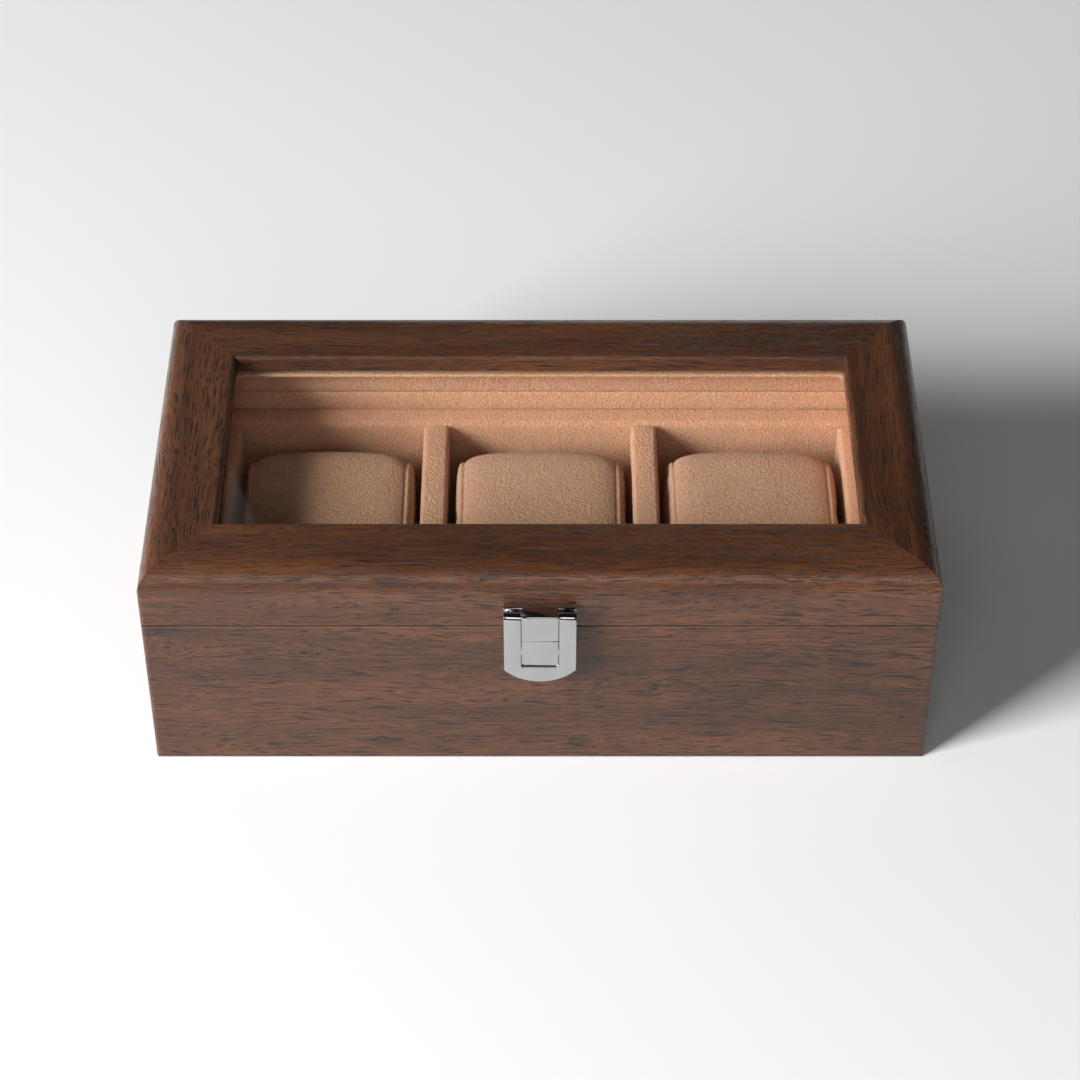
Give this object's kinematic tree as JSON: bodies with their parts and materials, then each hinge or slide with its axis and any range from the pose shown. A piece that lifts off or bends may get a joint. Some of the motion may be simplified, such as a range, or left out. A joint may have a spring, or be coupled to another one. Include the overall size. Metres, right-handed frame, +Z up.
{
  "type": "watch box",
  "caption": "Rectangular walnut watch box with a hinged glass-window lid, suede-lined compartments with lift-out pillows, and a metal front latch.",
  "frame": {"origin": "middle of the footprint of the case, on the surface that the box stands on", "axes": "+X along the length of the box, -Y out of the front with the latch, +Z up"},
  "size_m": [0.24, 0.1362, 0.0785],
  "materials": {
    "walnut": "satin lacquer, dark open grain",
    "panel_wood": "plain, unseen from outside",
    "suede": "brushed microfibre suede",
    "felt": "pressed felt",
    "glass": "clear polished",
    "chrome": "polished",
    "hinge_brass": "brushed",
    "screw_steel": "turned"
  },
  "bodies": {
    "base": {"base_front": "walnut", "base_back": "walnut", "base_left": "walnut", "base_right": "walnut", "bottom_panel": "panel_wood", "underside_felt": "felt", "base_lining_front": "suede", "base_lining_back": "suede", "base_lining_left": "suede", "base_lining_right": "suede", "floor_lining": "suede", "tray_block_front": "suede", "tray_block_back": "suede", "tray_block_left": "suede", "tray_block_right": "suede", "divider_left": "suede", "divider_right": "suede", "hinge_left_base_leaf": "hinge_brass", "hinge_left_pin": "hinge_brass", "hinge_right_base_leaf": "hinge_brass", "hinge_right_pin": "hinge_brass", "hinge_base_screws": "screw_steel", "latch_keeper": "chrome", "latch_keeper_screws": "screw_steel"},
    "lid": {"lid_front_rail": "walnut", "lid_back_rail": "walnut", "lid_left_rail": "walnut", "lid_right_rail": "walnut", "window_glass": "glass", "glass_retainer": "suede", "lid_lining_front": "suede", "lid_lining_back": "suede", "lid_lining_left": "suede", "lid_lining_right": "suede", "hinge_left_lid_leaf": "hinge_brass", "hinge_right_lid_leaf": "hinge_brass", "hinge_lid_screws": "screw_steel", "latch_bracket": "chrome", "latch_pin": "chrome", "latch_bracket_screws": "screw_steel"},
    "latch": {"latch_flap": "chrome"},
    "pillow_left": {"pillow_left_band": "suede", "pillow_left_end_caps": "suede"},
    "pillow_middle": {"pillow_middle_band": "suede", "pillow_middle_end_caps": "suede"},
    "pillow_right": {"pillow_right_band": "suede", "pillow_right_end_caps": "suede"}
  },
  "joints": [
    {"name": "lid_hinge", "type": "hinge", "parent": "base", "child": "lid", "pos_m": [0, 0.0649, 0.0582], "axis": [-1, 0, 0], "range_deg": [0, 95]},
    {"name": "latch_swing", "type": "hinge", "parent": "lid", "child": "latch", "pos_m": [0, -0.06745, 0.0664], "axis": [-1, 0, 0], "range_deg": [0, 110]},
    {"name": "pillow_left_lift", "type": "slide", "parent": "base", "child": "pillow_left", "axis": [0, 0, 1], "range_m": [0, 0.014]},
    {"name": "pillow_middle_lift", "type": "slide", "parent": "base", "child": "pillow_middle", "axis": [0, 0, 1], "range_m": [0, 0.014]},
    {"name": "pillow_right_lift", "type": "slide", "parent": "base", "child": "pillow_right", "axis": [0, 0, 1], "range_m": [0, 0.014]}
  ]
}
